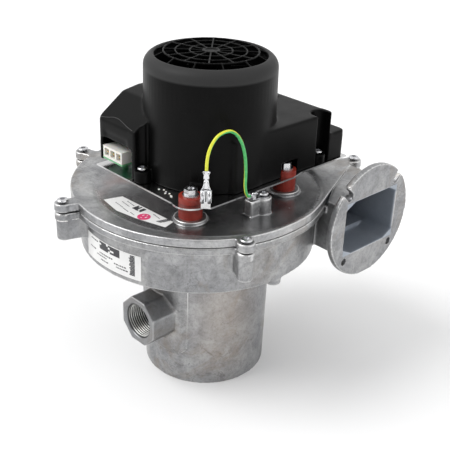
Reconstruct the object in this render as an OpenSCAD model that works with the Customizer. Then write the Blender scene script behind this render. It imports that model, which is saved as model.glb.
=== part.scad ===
// Combustion fan: die-cast scroll and mixer cup, with its motor and board under a plastic cap.
// Origin on the rotor axis at the cup's lower face. +Z is up and the outlet points along +X.

/* [Mixer cup] */
// Radius of the cup at its lower face
cup_r = 47; // [46.5:0.5:48]
// Radius of the cup under the housing
cup_top_r = 48.5; // [48:0.5:49.5]
// Radius of the chamber inside the cup
cup_bore_r = 43; // [42.5:0.5:43.5]
// Radius of the air inlet in the cup's floor
inlet_r = 31; // [30:0.5:32]
// Height of the gas port's axis
port_z = 54.5; // [52:0.5:56]
// Distance from the rotor axis to the gas port's face
port_reach = 67.5; // [66:0.5:70]
// Radius of the gas port's bore, at the crests of its thread
port_r = 12.06; // [11:0.01:13]
// Width across the flats of the gas port's boss
port_flats = 36.5; // [35:0.5:38]

/* [Scroll housing] */
// Height of the housing's underside
floor_z = 104; // [103:0.5:104]
// Height of the face between the housing and its cover
split_z = 142; // [141.5:0.5:142.5]
// Radius of the rim where the scroll starts
rim_r = 86.5; // [86:0.5:87.5]
// Growth of the rim's radius for each degree that the scroll turns
rim_gain = 0.112; // [0.108:0.001:0.114]
// Thickness of the cast walls
wall = 4; // [3.5:0.5:4.5]
// Width of the bolting rim outside the wall
rim_w = 6; // [5:0.5:7]
// Radius of the round dish in the cover
dish_r = 84; // [82:0.5:84]
// Radius of the screw bosses round the rim
lug_r = 6.2; // [5.5:0.1:6.5]

/* [Outlet] */
// Distance from the rotor axis to the outlet flange's face
outlet_x = 90; // [88:0.5:92]
// Distance from the rotor axis to the middle of the outlet
outlet_y = 81.5; // [81:0.5:82]
// Height of the middle of the outlet
outlet_z = 125.7; // [125:0.1:126]
// Radius of the round outlet flange
flange_r = 43.8; // [43:0.1:45]
// Thickness of the outlet flange
flange_t = 5; // [4:0.5:6]
// Width of the outlet's mouth
mouth_w = 57; // [55:0.5:58]
// Height of the outlet's mouth
mouth_h = 42; // [41:0.5:43]
// Spacing of the flange's holes, both ways
flange_pitch = 53; // [52:0.5:54]
// Radius of the flange's holes
flange_hole_r = 2.7; // [2.5:0.1:3]

/* [Motor] */
// Height of the mounting plate's top face
plate_z = 160; // [159:0.5:160]
// Thickness of the mounting plate
plate_t = 1.2; // [1:0.1:1.5]
// Radius of the motor shaft
shaft_r = 4; // [3.5:0.5:4]
// Radius of the impeller
impeller_r = 64; // [60:1:66]
// Number of impeller blades
blade_count = 11; // [9:1:13]
// Outer radius of the rotor bell
bell_r = 39.5; // [39:0.5:40.5]

/* [Cap] */
// Radius of the cap's drum at its shoulder
drum_r = 47; // [46.5:0.5:47.5]
// Height of the grille above the mounting plate
grille_h = 87.9; // [86:0.1:90]
// Thickness of the cap's wall
cap_wall = 2.2; // [2:0.1:2.4]
// Height of the cap's high end above the plate
high_roof = 53; // [50:0.5:54]
// Height of the cap's low end above the plate
low_roof = 38.5; // [37:0.5:40]
// Height of the lowest step at the cap's back above the plate
step_roof = 21.5; // [20:0.5:23]
// Number of spokes in the grille
spokes = 12; // [8:2:16]
// Width of the grille's ribs
rib_w = 1.1; // [0.9:0.1:1.5]

/* [Hidden] */
$fn = 72;

cast = "silver";
steel = "gainsboro";
black = "dimgray";
eps = 0.01;
rim_t = 6;
gasket_t = 0.6;
lug_step = 0.2;
rim_top = split_z + rim_t;
dish_z = rim_top - 2;
scroll_end = 292;
scroll_start = -23;
lug_list = [[-38.9, -100.9], [84.8, -43.3], [39.4, 120.3], [-108.5, -36], [-102, 63], [-34, 119]];
cap_in_z = plate_z + 0.2;
top_z = plate_z + grille_h;
mouth_lo = outlet_z - mouth_h / 2;
mouth_hi = outlet_z + mouth_h / 2;
duct_lo = outlet_y - mouth_w / 2;
duct_hi = outlet_y + mouth_w / 2;
mount_list = [[34.6, -47.3], [42.7, 36.1], [-50, 28]];
mount_r = 8.2;
pad_z = rim_top + 0.8;
post = [57.5, -1];
post_z = plate_z - 2;
foot_list = [[-11, -52.5], [42.5, 71], [-30, 92]];
foot_turn = [78, 193, -72];
foot_reach = [7.4, 8.2, 8.2];
foot_top = [8.5, 7, 7];
way_r = [4.4, 7, 7];
board_z = plate_z + 5;
board_t = 1.6;
cap_x = [-58.5, 47];
high_end_x = -13;
cap_y = [-56, 97];
low_end_y = 81;
boss_turns = [-5, 115, 235];
boss_ring = 77;
cup_screw_ring = 39;
cup_top_z = floor_z - gasket_t;
throat_r = 22;
slot_z = 58;
air_gap = 0.6;
stator_r = 34;
tube_r = 14;
bearing_r = 11;
wire_r = 1.1;

// Points of the wire's route, from the spade terminal to the ring terminal
wire_route = [[49.3, -46.8, 185.2], [49.3, -46.8, 190], [49.4, -46.4, 195], [49.7, -45.3, 200],
    [50.3, -43, 205], [51, -39.5, 209], [52, -35, 211], [53, -30, 211], [54, -25.5, 208],
    [54.6, -22, 203], [55.1, -19.6, 197], [55.6, -18.2, 190], [56.1, -17.8, 183], [56.6, -18.1, 176],
    [57.1, -18.5, 170], [57.4, -17.6, 165], [57.2, -15.6, 162.4], [56.95, -13.9, 161.5],
    [56.8, -13.03, 161.15]];

// Radius of the rim after t degrees of clockwise turn
function rim(t) = rim_r + rim_gain * max(t, 0);
// A stretch of the scroll, set in by some distance
function scroll(inset, from, to, step = 5) = [for (t = [from : step : to])
    [(rim(t) - inset) * cos(t), -(rim(t) - inset) * sin(t)]];
// Points on an arc round c
function arc(c, r, from, to, n = 6) = [for (i = [0 : n])
    let (a = from + (to - from) * i / n) [c[0] + r * cos(a), c[1] + r * sin(a)]];
// Corners of a box's outline, each rounded by r
function round_box(x, y, r) = concat(
    arc([x[0] + r, y[0] + r], r, 180, 270), arc([x[1] - r, y[0] + r], r, 270, 360),
    arc([x[1] - r, y[1] - r], r, 0, 90), arc([x[0] + r, y[1] - r], r, 90, 180));

module ring(r_out, r_in, z0, z1) {
    translate([0, 0, z0])
        difference() {
            cylinder(r = r_out, h = z1 - z0);
            translate([0, 0, -1])
                cylinder(r = r_in, h = z1 - z0 + 2);
        }
}
module at(p, z = 0) {
    translate([p[0], p[1], z])
        children();
}
module rod(p, r, z0, z1) {
    at(p, z0)
        cylinder(r = r, h = z1 - z0);
}
module slab(outline, z0, z1) {
    translate([0, 0, z0])
        linear_extrude(height = z1 - z0)
            polygon(outline);
}
// Outline of the rim, with its straight slanted side at the outlet
module rim_slab(inset, z0, z1) {
    slab(scroll(inset, scroll_start, scroll_end), z0, z1);
}
// A boss at p with a web that reaches some distance towards the rotor axis
module lug(p, r, reach, z0, z1) {
    rod(p, r, z0, z1);
    at(p, z0)
        rotate([0, 0, atan2(-p[1], -p[0])])
            translate([0, -0.88 * r, 0.1])
                cube([reach, 1.76 * r, z1 - z0 - 0.2]);
}
// Pan-head screw standing on z, with a six-sided socket
module pan_screw(p, z, head_r, shank_r, shank) {
    rod(p, shank_r, z - shank, z + eps);
    difference() {
        at(p, z)
            rotate_extrude()
                polygon(concat([[0, 0]], arc([head_r - 1.2, 1.2], 1.2, 0, 60), [[0, 2.9]]));
        at(p, z + 1.4)
            cylinder(r = head_r * 0.48, h = 3, $fn = 6);
    }
}
// Hexagon bolt with a flange, standing on z
module flange_bolt(p, z, flats, shank_r, shank) {
    rod(p, shank_r, z - shank, z + eps);
    rod(p, flats * 0.72, z, z + 1.2);
    at(p, z + 1.2 - eps)
        difference() {
            cylinder(r = flats / sqrt(3), h = 4, $fn = 6);
            translate([0, 0, 3])
                cylinder(r = flats * 0.3, h = 2);
        }
}

// Lower casing: scroll, outlet duct, flange and screw bosses, in one casting
// Outline of the outlet's duct, w wide and h high, with its corners cut
module duct_outline(w, h, cut) {
    polygon([[-w / 2, cut[0] - h / 2], [cut[1] - w / 2, -h / 2],
        [w / 2 - cut[1], -h / 2], [w / 2, cut[0] - h / 2],
        [w / 2, h / 2 - cut[0]], [w / 2 - cut[1], h / 2],
        [cut[1] - w / 2, h / 2], [-w / 2, h / 2 - cut[0]]]);
}
module duct_walls() {
    translate([20, outlet_y, outlet_z])
        rotate([90, 0, 90])
            linear_extrude(height = outlet_x - flange_t - 19)
                duct_outline(mouth_w + 2 * wall, mouth_h + 2 * wall, [5.5, 10.5]);
}
module outlet_flange() {
    difference() {
        translate([outlet_x - flange_t, outlet_y, outlet_z])
            rotate([0, 90, 0])
                cylinder(r = flange_r, h = flange_t, $fn = 120);
        for (s = [-1, 1]) {
            translate([outlet_x - flange_t - 1, outlet_y + s * flange_pitch / 2, outlet_z - flange_pitch / 2])
                rotate([0, 90, 0])
                    cylinder(r = flange_hole_r, h = flange_t + 2);
            translate([outlet_x - flange_t - 1, outlet_y + s * flange_pitch / 2, outlet_z + flange_pitch / 2])
                rotate([0, 90, 0])
                    cylinder(r = flange_hole_r + 0.6, h = flange_t + 2);
            translate([outlet_x - flange_t - 1, outlet_y + s * flange_pitch / 2, outlet_z + flange_pitch / 2])
                rotate([s * -45, 0, 0])
                    translate([0, -flange_hole_r - 0.4, 0])
                        cube([flange_t + 2, 2 * flange_hole_r + 0.8, 20]);
        }
    }
}
// Hollow of the scroll and the way out through the outlet
module air_way() {
    slab(scroll(rim_w + wall, -40, 290), floor_z + wall, split_z + 1);
    translate([10, duct_lo, floor_z + wall])
        cube([55, mouth_w, split_z - floor_z - wall]);
    translate([64, outlet_y, outlet_z])
        rotate([90, 0, 90])
            linear_extrude(height = outlet_x)
                duct_outline(mouth_w, mouth_h, [5, 9.5]);
}
// Room round the cover's bosses
module lug_room() {
    for (p = lug_list)
        lug(p, lug_r + 0.6, 13, split_z - gasket_t, split_z + 20);
}
// Edge of the duct's roof and the ledge under the cover's straight side
module duct_lintel() {
    low = split_z - gasket_t - 3;
    intersection() {
        duct_walls();
        union() {
            difference() {
                rim_slab(-5, low, mouth_hi + wall);
                rim_slab(-1.5, low - 1, mouth_hi + wall + 1);
                lug_room();
            }
            difference() {
                rim_slab(-2, low, split_z - gasket_t);
                slab(scroll(rim_w + wall, scroll_start + 4, scroll_end - 6), low - 1, split_z);
            }
        }
    }
}
module volute_housing() {
    color(cast) {
        duct_lintel();
        difference() {
            union() {
                slab(scroll(rim_w, -38, 290), floor_z, split_z - gasket_t);
                rim_slab(0, split_z - rim_t, split_z - gasket_t);
                difference() {
                    duct_walls();
                    rim_slab(-1.5, split_z - gasket_t, split_z + 20);
                    lug_room();
                }
                outlet_flange();
                for (p = lug_list) {
                    lug(p, lug_r, 12, split_z - rim_t - lug_step, split_z - gasket_t - lug_step);
                    lug(p, lug_r - 0.8, 17, split_z - 22, split_z - rim_t + 1);
                }
                for (a = boss_turns)
                    rod([boss_ring * cos(a), boss_ring * sin(a)], 5.5, floor_z - 4, floor_z + 1);
            }
            air_way();
            rod([0, 0], 35, floor_z - 1, floor_z + wall + 1);
            for (p = lug_list)
                rod(p, 2.1, split_z - 16, split_z + 1);
            for (a = [45 : 90 : 315])
                rod([cup_screw_ring * cos(a), cup_screw_ring * sin(a)], 2.2, floor_z - 1, floor_z + wall + 1);
        }
    }
}
module volute_cover() {
    color(cast)
        difference() {
            union() {
                difference() {
                    union() {
                        rim_slab(0, split_z, rim_top);
                        for (p = lug_list)
                            lug(p, lug_r, 12, split_z + lug_step, rim_top + lug_step);
                    }
                    rod([0, 0], dish_r, dish_z, rim_top + 1);
                }
                for (p = mount_list)
                    rod(p, 11.5, dish_z - 1, pad_z);
                rod(post, 6, dish_z - 1, post_z);
                translate([post[0] - 5.2, post[1] - 13, dish_z - 1])
                    cube([7.6, 12, post_z - dish_z + 0.6]);
            }
            rod([0, 0], 12, split_z - 1, rim_top + 1);
            for (p = lug_list)
                rod(p, 2.6, split_z - 1, rim_top + 1);
            for (p = mount_list)
                rod(p, 2.6, split_z + 1, rim_top + 5);
            rod(post, 2, dish_z, post_z + 1);
        }
}
module cover_gasket() {
    color("darkgray")
        difference() {
            rim_slab(1, split_z - gasket_t, split_z);
            slab(scroll(rim_w + wall, scroll_start + 4, scroll_end - 6), split_z - 2, split_z + 1);
        }
}
module cover_screws() {
    color(steel)
        for (p = lug_list)
            pan_screw(p, rim_top + lug_step, 4.2, 2, 18);
}

// Mixer cup with its threaded gas port
module mixer_cup() {
    turn = 22.5;
    color(cast)
        difference() {
            union() {
                cylinder(r1 = cup_r, r2 = cup_top_r, h = cup_top_z);
                intersection() {
                    cylinder(r1 = cup_r + 1.4, r2 = cup_top_r + 1.4, h = cup_top_z);
                    translate([0, 0, 25.4])
                        rotate([90, 0, 0])
                            linear_extrude(height = 60)
                                polygon([[-20, 0], [20, 0], [26, 6], [26, 90], [-26, 90], [-26, 6]]);
                }
                translate([0, -port_reach, port_z])
                    rotate([-90, turn, 0])
                        cylinder(r = port_flats / 2 / cos(turn), h = port_reach - 36, $fn = 8);
            }
            rod([0, 0], inlet_r, -1, 6);
            rod([0, 0], cup_bore_r, 5, cup_top_z + 1);
            translate([0, -port_reach - 1, port_z])
                rotate([-90, 0, 0])
                    cylinder(r = port_r, h = port_reach);
            translate([0, -port_reach, port_z])
                rotate([-90, 0, 0])
                    cylinder(r1 = port_r + 2.4, r2 = port_r, h = 2.4);
        }
    color(cast)
        for (a = [45 : 90 : 315])
            difference() {
                intersection() {
                    rod([cup_screw_ring * cos(a), cup_screw_ring * sin(a)], 6, cup_top_z - 16, cup_top_z);
                    rod([0, 0], cup_bore_r + 0.5, 0, cup_top_z);
                }
                rod([cup_screw_ring * cos(a), cup_screw_ring * sin(a)], 2, cup_top_z - 14, cup_top_z + 1);
            }
}
module cup_gasket() {
    color("darkgray")
        ring(cup_top_r - 0.5, cup_bore_r, cup_top_z, floor_z);
}
module cup_screws() {
    color(steel)
        for (a = [45 : 90 : 315])
            rotate([0, 0, a]) {
                rod([cup_screw_ring, 0], 2, cup_top_z - 12, floor_z + wall);
                rod([cup_screw_ring, 0], 3.6, floor_z + wall, floor_z + wall + 1.6);
            }
}
module venturi_nozzle() {
    color("lightgray")
        rotate_extrude()
            polygon([[inlet_r, 5], [cup_bore_r - 0.1, 5], [cup_bore_r - 0.1, 8], [cup_bore_r - 2.5, 8],
                [cup_bore_r - 2.5, 11], [cup_bore_r - 0.1, 11], [cup_bore_r - 0.1, 14],
                [inlet_r + 2, 14], [throat_r + 3, slot_z - 14], [throat_r + 2, slot_z],
                [throat_r, slot_z], [throat_r + 0.8, slot_z - 14], [throat_r + 3.4, slot_z - 30],
                [inlet_r - 2, 12]]);
}
module venturi_diffuser() {
    top = cup_top_z - 17;
    color("lightgray")
        rotate_extrude()
            polygon([[throat_r + 1, slot_z + 2.5], [throat_r + 3, slot_z + 2.5], [throat_r + 6, top - 8],
                [cup_bore_r - 0.1, top - 8], [cup_bore_r - 0.1, top - 5], [cup_bore_r - 2.5, top - 5],
                [cup_bore_r - 2.5, top - 2], [cup_bore_r - 0.1, top - 2], [cup_bore_r - 0.1, top],
                [throat_r + 6, top]]);
}
module o_ring(r, z, thick) {
    rotate_extrude()
        translate([r, z])
            circle(r = thick, $fn = 24);
}
module venturi_seals() {
    color("black") {
        o_ring(cup_bore_r - 1.25, 9.5, 1.2);
        o_ring(cup_bore_r - 1.25, cup_top_z - 20.5, 1.2);
    }
}

// Sheet-steel plate that carries the motor, the board and the cap
module mounting_plate() {
    color(steel)
        difference() {
            union() {
                slab([[-57, -59], [28, -59], [51.5, -44], [51.5, 36], [48.5, 48], [48.5, 99], [-57, 99]],
                    plate_z - plate_t, plate_z);
                rod(mount_list[0], 13, plate_z - plate_t, plate_z);
            }
            for (p = mount_list)
                rod(p, 6.1, plate_z - 2, plate_z + 1);
            rod([0, 0], tube_r + 0.1, plate_z - 2, plate_z + 1);
            for (p = foot_list)
                rod(p, 1.5, plate_z - 2, plate_z + 1);
        }
}
module earth_tab() {
    color(steel)
        translate([48.5, -46, plate_z])
            rotate([0, 0, 45]) {
                translate([-3.15, -2.5, 0])
                    cube([6.3, 4, 0.8]);
                translate([-3.15, -2.5, 0])
                    cube([6.3, 0.8, 13]);
            }
}
module rubber_mount(p) {
    color("firebrick")
        difference() {
            union() {
                rod(p, mount_r, pad_z, plate_z - plate_t);
                rod(p, 6, plate_z - plate_t - 1, plate_z + 1);
                rod(p, mount_r, plate_z, plate_z + 4);
            }
            rod(p, 3.4, pad_z - 1, plate_z + 5);
        }
}
module mount_sleeves() {
    color(steel)
        for (p = mount_list)
            at(p)
                ring(3.4, 2.6, pad_z, plate_z + 4);
}
module mount_bolts() {
    color(steel)
        for (p = mount_list)
            flange_bolt(p, plate_z + 4, 8, 2.5, 20);
}

// Outer form of the cap, set in by some distance on every side
module cap_form(inset) {
    r_top = drum_r - inset;
    difference() {
        union() {
            // drum with its rounded shoulder
            translate([0, 0, cap_in_z - 1])
                cylinder(r1 = r_top + 0.8, r2 = r_top, h = plate_z + 77.6 - cap_in_z + 1);
            rotate_extrude()
                polygon(concat([[0, plate_z + 76]],
                    arc([r_top - 8.5, plate_z + 77.6 - eps], 8.5 - inset * 0.2, 0, 75, 10),
                    [[39.4, plate_z + 84.8 - inset], [0, plate_z + 84.8 - inset]]));
            // low box behind the drum
            slab(round_box([cap_x[0] + inset, cap_x[1] - inset], [-20, low_end_y - inset], 4),
                cap_in_z - 1, plate_z + low_roof - inset);
            // lowest step at the back
            slab(round_box([cap_x[0] + inset, cap_x[1] - inset], [30, cap_y[1] - inset], 5),
                cap_in_z - 1, plate_z + step_roof - inset);
            // high box on the left, with its sloping front
            difference() {
                slab(round_box([cap_x[0] + inset, high_end_x - inset], [cap_y[0] + inset, 75 - inset], 4),
                    cap_in_z - 1, plate_z + high_roof - inset);
                translate([-70, -56 + inset * 0.6, plate_z + 35 - inset])
                    rotate([35, 0, 0])
                        translate([0, -30, 0])
                            cube([80, 62, 60]);
                translate([-70, -31 + inset * 0.3, plate_z + 51.2 - inset])
                    rotate([9, 0, 0])
                        translate([0, -20, 0])
                            cube([80, 32, 30]);
            }
            // slope from the high box to the low box
            translate([0, 75 - inset, 0])
                rotate([90, 0, 0])
                    linear_extrude(height = 75)
                        polygon([[-18, cap_in_z], [-13.5 - inset, plate_z + high_roof - inset],
                            [-4 - inset, plate_z + low_roof - inset], [2, cap_in_z]]);
        }
        // pockets over the two mounts behind the drum
        for (p = [mount_list[1], mount_list[2]])
            rod(p, mount_r + 1 + inset, cap_in_z - 2, plate_z + 11 + inset);
        // screwdriver ways down to the feet
        for (i = [0 : len(foot_list) - 1])
            rod(foot_list[i], way_r[i] + inset, cap_in_z - 2, plate_z + 100);
        translate([foot_list[0][0] - way_r[0] - inset, foot_list[0][1] - 20, cap_in_z - 2])
            cube([2 * (way_r[0] + inset), 20, 60]);
        translate([foot_list[1][0], foot_list[1][1] - way_r[1] - inset, cap_in_z - 2])
            cube([20, 2 * (way_r[1] + inset), 60]);
        translate([foot_list[2][0] - way_r[2] - inset, foot_list[2][1], cap_in_z - 2])
            cube([2 * (way_r[2] + inset), 20, 60]);
    }
}
module grille() {
    z = top_z - 1.8;
    for (r = [33.6, 25.4, 15.4])
        ring(r, r - rib_w, z, top_z);
    ring(6.2, 4.6, z, top_z);
    rod([0, 0], 4.7, z, top_z - 0.8);
    for (i = [0 : spokes - 1]) {
        rotate([0, 0, 15 + i * 360 / spokes])
            translate([5.5, -rib_w / 2, z])
                cube([27.5, rib_w, 1.7]);
        rotate([90, 0, i * 360 / spokes])
            translate([0, 0, -rib_w / 2])
                linear_extrude(height = rib_w)
                    polygon([[33, top_z], [33.3, top_z], [40, top_z - 3.2],
                        [40, top_z - 5], [33, top_z - 1.8]]);
    }
}
module motor_cap() {
    color(black) {
        difference() {
            cap_form(0);
            translate([0, 0, -2])
                cap_form(cap_wall);
            rod([0, 0], 39.4, plate_z + 80, plate_z + 90);
            // window for the mains plug
            translate([-53.5, cap_y[0] - 1, cap_in_z - 2])
                cube([34.5, 9.5, 22.8]);
            translate([-50, cap_y[0] - 1, cap_in_z + 20])
                cube([26, 1.8, 7]);
            // window for the signal plug
            translate([cap_x[0] - 1, -5, cap_in_z - 2])
                cube([5, 18, 16]);
            // raised skirt on the left, clear of the plate
            translate([cap_x[0] - 1, cap_y[0] - 1, cap_in_z - 2])
                cube([6.5, 62, 5.8]);
            slab([[-80, -80], [80, -80], [80, 120], [-80, 120]], cap_in_z - 3, cap_in_z);
        }
        grille();
        for (i = [0 : len(foot_list) - 1])
            difference() {
                union() {
                    rod(foot_list[i], 5.8, cap_in_z, plate_z + foot_top[i]);
                    at(foot_list[i], cap_in_z)
                        rotate([0, 0, foot_turn[i]])
                            translate([0, -3.5, 0])
                                cube([foot_reach[i], 7, plate_z + 6.5 - cap_in_z]);
                }
                rod(foot_list[i], 1.8, cap_in_z - 1, plate_z + 9.5);
            }
        // stop lug beside the front mount
        rotate([0, 0, -50])
            translate([drum_r - 1, -6, cap_in_z])
                cube([3.4, 12, 8]);
    }
}
module cap_screws() {
    color(steel)
        for (i = [0 : len(foot_list) - 1])
            pan_screw(foot_list[i], plate_z + foot_top[i], 3.4, 1.4, foot_top[i] + 2);
}

// Motor electronics
module circuit_board() {
    color("green")
        difference() {
            slab([[-54, -55.4], [-30.5, -55.4], [-30.5, -30], [0, 30], [36, 49.5],
                [44, 49.5], [44, 61], [33, 61], [33, 92], [-20, 92], [-20, 82],
                [-40, 82], [-40, 92], [-54, 92]], board_z, board_z + board_t);
            rod([0, 0], 43, board_z - 1, board_z + 3);
            rod(mount_list[2], 12.5, board_z - 1, board_z + 3);
        }
    color("gray")
        for (p = [[-48, -40], [-48, 84], [26, 84], [38, 54]])
            rod(p, 2.5, plate_z, board_z);
}
module mains_connector() {
    color("ivory")
        difference() {
            translate([-52.5, -55.8, board_z + board_t])
                cube([22, 10.5, 8.8]);
            for (i = [0 : 2])
                translate([-50.9 + i * 6.9, -57, board_z + board_t + 1.6])
                    cube([5.2, 8, 5.6]);
        }
}
module connector_pins() {
    color("goldenrod")
        for (i = [0 : 2])
            translate([-49.1 + i * 6.9, -54.8, board_z + board_t + 4])
                cube([1.6, 7, 0.8]);
}
module signal_connector() {
    color("ivory")
        difference() {
            translate([-55.5, -3, board_z + board_t])
                cube([10, 14, 7]);
            translate([-57, -1.5, board_z + board_t + 1.4])
                cube([9, 11, 4.4]);
        }
}
module bulk_capacitors() {
    color("midnightblue")
        for (p = [[-41, 60], [-27, 66]])
            rod(p, 6.4, board_z + board_t, board_z + 36);
}
module filter_choke() {
    color("orangered")
        translate([0, 67, board_z + board_t + 9.5])
            rotate([90, 0, 0])
                rotate_extrude()
                    translate([6.5, 0])
                        circle(r = 3, $fn = 24);
}
module heat_sink() {
    color("silver")
        translate([12, 56, board_z + board_t]) {
            cube([20, 2, 20]);
            for (i = [0 : 4])
                translate([i * 4.5, 1.9, 0])
                    cube([1.5, 7, 20]);
        }
}
module power_transistors() {
    color("black")
        for (i = [0 : 1])
            translate([13 + i * 9.5, 53.4, board_z + board_t + 2])
                cube([8, 2.6, 12]);
}

// Stator, bearings and their carrier
module bearing_tube() {
    color("silver")
        difference() {
            union() {
                rod([0, 0], tube_r, plate_z - plate_t, plate_z + 47);
                rod([0, 0], 25, plate_z, plate_z + 2.5);
            }
            rod([0, 0], bearing_r, plate_z + 3, plate_z + 50);
            rod([0, 0], 7, plate_z - 3, plate_z + 4);
        }
}
module bearing(z) {
    color("lightsteelblue") {
        ring(bearing_r, 9, z, z + 7);
        ring(6, shaft_r + 0.05, z, z + 7);
        for (a = [0 : 45 : 315])
            translate([7.5 * cos(a), 7.5 * sin(a), z + 3.5])
                sphere(r = 1.55, $fn = 24);
    }
}
module preload_washer() {
    color(steel)
        ring(bearing_r - 0.2, 8.5, plate_z + 39, plate_z + 39.5);
}
module stator_core() {
    color("slategray")
        difference() {
            union() {
                ring(20, tube_r, plate_z + 14, plate_z + 36);
                for (a = [0 : 30 : 330])
                    rotate([0, 0, a])
                        translate([19, -2, plate_z + 14])
                            cube([12.5, 4, 22]);
                difference() {
                    ring(stator_r, 30.5, plate_z + 14, plate_z + 36);
                    for (a = [15 : 30 : 345])
                        rotate([0, 0, a])
                            translate([28, -1.2, plate_z + 13])
                                cube([8, 2.4, 24]);
                }
            }
        }
}
module stator_insulators() {
    color("white")
        for (z = [plate_z + 12.5, plate_z + 36]) {
            ring(20.5, tube_r + 0.3, z, z + 1.5);
            for (a = [0 : 30 : 330])
                rotate([0, 0, a])
                    translate([20, -2.4, z])
                        cube([10, 4.8, 1.5]);
        }
}
module stator_windings() {
    color("chocolate")
        for (a = [0 : 30 : 330])
            rotate([0, 0, a])
                difference() {
                    translate([21, -4.2, plate_z + 10.5])
                        cube([8, 8.4, 29]);
                    translate([20, -2.4, plate_z + 12.5])
                        cube([10, 4.8, 25]);
                }
}

// Rotor: everything that turns on the shaft
module motor_shaft() {
    color(steel) {
        rod([0, 0], shaft_r, floor_z + 14, plate_z + 66);
        translate([0, 0, plate_z + 66])
            cylinder(r1 = shaft_r, r2 = shaft_r - 0.6, h = 0.6);
    }
}
module rotor_bell() {
    color("dimgray")
        difference() {
            union() {
                rod([0, 0], bell_r, plate_z + 9, plate_z + 54);
                rod([0, 0], 9, plate_z + 54, plate_z + 58);
            }
            rod([0, 0], bell_r - 2, plate_z + 8, plate_z + 52);
            rod([0, 0], shaft_r, plate_z + 50, plate_z + 60);
            for (a = [0 : 60 : 300])
                rod([24 * cos(a), 24 * sin(a)], 5, plate_z + 50, plate_z + 56);
        }
}
module rotor_magnet() {
    color("black")
        ring(bell_r - 2, stator_r + air_gap, plate_z + 12, plate_z + 38);
}
module cooling_wheel() {
    color("dimgray") {
        ring(38, 9, plate_z + 54, plate_z + 56);
        ring(38, 36.4, plate_z + 70, plate_z + 72);
        ring(11, 9, plate_z + 56, plate_z + 64);
        for (a = [0 : 360 / 13 : 359])
            rotate([0, 0, a])
                translate([22, 6, plate_z + 55])
                    rotate([0, 0, -28])
                        cube([16.8, 1.4, 16.5]);
    }
}
module impeller_backplate() {
    color("silver") {
        ring(impeller_r, 9, split_z - 6, split_z - 4.5);
        ring(9.2, shaft_r, floor_z + 18, split_z - 3);
    }
}
module blade_zone() {
    rotate_extrude()
        polygon([[30, floor_z + 8.5], [35, floor_z + 8.5], [impeller_r - 0.5, floor_z + 13.5],
            [impeller_r - 0.5, split_z - 6], [30, split_z - 6]]);
}
module impeller_blades() {
    color("silver")
        intersection() {
            blade_zone();
            for (i = [0 : blade_count - 1])
                rotate([0, 0, i * 360 / blade_count])
                    difference() {
                        translate([0, 41, 0])
                            ring(50, 48.8, floor_z + 6, split_z - 5);
                        translate([-100, -100, 0])
                            cube([100, 250, 200]);
                    }
        }
}
module impeller_shroud() {
    color("silver")
        rotate_extrude()
            polygon([[33.5, floor_z + 5], [35, floor_z + 5], [36.2, floor_z + 7], [impeller_r, floor_z + 11.7],
                [impeller_r, floor_z + 13.4], [35, floor_z + 8.4], [33.5, floor_z + 6.5]]);
}
module impeller_nut() {
    color(steel)
        difference() {
            rod([0, 0], 7.5, floor_z + 14.5, floor_z + 18);
            rod([0, 0], shaft_r, floor_z + 14, floor_z + 19);
            for (a = [0 : 60 : 300])
                rotate([0, 0, a])
                    translate([6.5, -10, floor_z + 14])
                        cube([5, 20, 5]);
        }
}
module shaft_seal() {
    color("black")
        ring(11.9, shaft_r + 0.4, split_z + 0.3, dish_z + 1.5);
}

// Earth wire and its terminals
function unit(v) = v / norm(v);
function route_dir(i) = unit(wire_route[min(i + 1, len(wire_route) - 1)] - wire_route[max(i - 1, 0)]);
module earth_wire() {
    sides = 8;
    n = len(wire_route);
    side_axis = [0.94, 0.342, 0];
    points = [for (i = [0 : n - 1])
        let (d = route_dir(i), u = unit(cross(d, side_axis)), v = cross(d, u))
            for (k = [0 : sides - 1])
                wire_route[i] + wire_r * (cos(k * 360 / sides) * u + sin(k * 360 / sides) * v)];
    walls = [for (i = [0 : n - 2]) for (k = [0 : sides - 1])
        [i * sides + k, i * sides + (k + 1) % sides, (i + 1) * sides + (k + 1) % sides, (i + 1) * sides + k]];
    ends = [[for (k = [sides - 1 : -1 : 0]) k], [for (k = [0 : sides - 1]) (n - 1) * sides + k]];
    color("yellowgreen")
        polyhedron(points = points, faces = concat(walls, ends), convexity = 4);
}
module spade_terminal() {
    color("gainsboro")
        translate([49.3, -46.8, plate_z + 4.5])
            rotate([0, 0, 45]) {
                difference() {
                    translate([-3.7, -1.6, 0])
                        cube([7.4, 2.4, 9]);
                    translate([-3.25, -1.44, -1])
                        cube([6.5, 1, 11]);
                }
                translate([-1.5, -0.6, 9])
                    cube([3, 1.2, 6]);
                translate([0, 0, 15])
                    difference() {
                        cylinder(r = 1.7, h = 7.5);
                        translate([0, 0, 5.5])
                            cylinder(r = wire_r, h = 3);
                    }
            }
}
module ring_terminal() {
    color("gainsboro") {
        at(post)
            ring(4.4, 2.1, post_z, post_z + 0.8);
        translate([post[0] - 1.6, post[1] - 9.5, post_z])
            cube([3.2, 5.6, 0.8]);
        translate([56, -8.5, post_z + 1.2])
            rotate([67, 0, 10])
                difference() {
                    cylinder(r = 1.7, h = 6.5);
                    translate([0, 0, 4.5])
                        cylinder(r = wire_r, h = 3);
                }
    }
}
module earth_screw() {
    color(steel)
        pan_screw(post, post_z + 0.8, 3.6, 1.9, 8);
}

// Paper labels and the round sticker
module cover_label() {
    color("white")
        slab([[-27.5, -74.5], [-23.5, -61], [30.5, -59], [33, -68], [10, -74.8], [-8, -77.8]],
            dish_z, dish_z + 0.2);
}
module housing_label() {
    color("white")
        slab(concat(scroll(rim_w - 0.25, 72, 108, 3), scroll(rim_w - 0.05, 108, 72, -3)),
            floor_z + 3.7, floor_z + 22.7);
}
module round_sticker() {
    color("hotpink")
        rod([12, -69.5], 4.6, dish_z + 0.2, dish_z + 0.35);
}

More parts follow.
